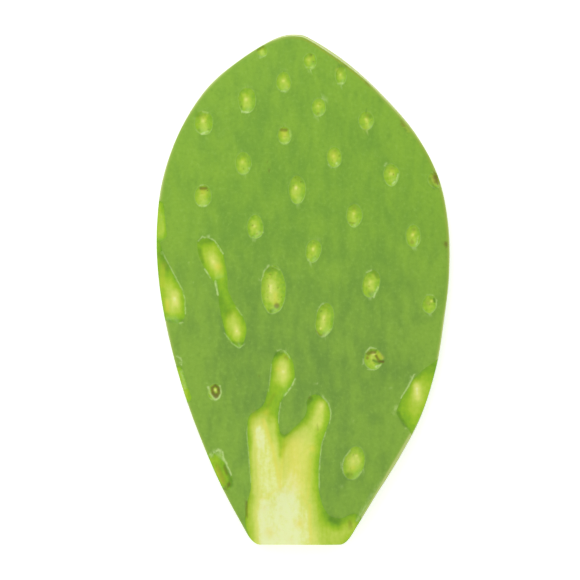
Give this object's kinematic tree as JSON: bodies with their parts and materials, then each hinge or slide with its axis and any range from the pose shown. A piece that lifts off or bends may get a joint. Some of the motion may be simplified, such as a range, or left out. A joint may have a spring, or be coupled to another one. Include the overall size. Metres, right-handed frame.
{
  "type": "prickly pear cactus pad",
  "caption": "Flat oval cactus pad cleaned for cooking: trimmed edge, stem end cut across, spine cushions sliced off both faces.",
  "frame": {"origin": "the middle of the pad's outline, at the height of the surface it lies on", "axes": "+Z out of the front face, +Y from the cut stem end to the tip, +X across the pad"},
  "size_m": [0.117, 0.2032, 0.0131],
  "materials": {
    "skin": "satin"
  },
  "bodies": {
    "root": {"pad": "skin"}
  },
  "joints": []
}
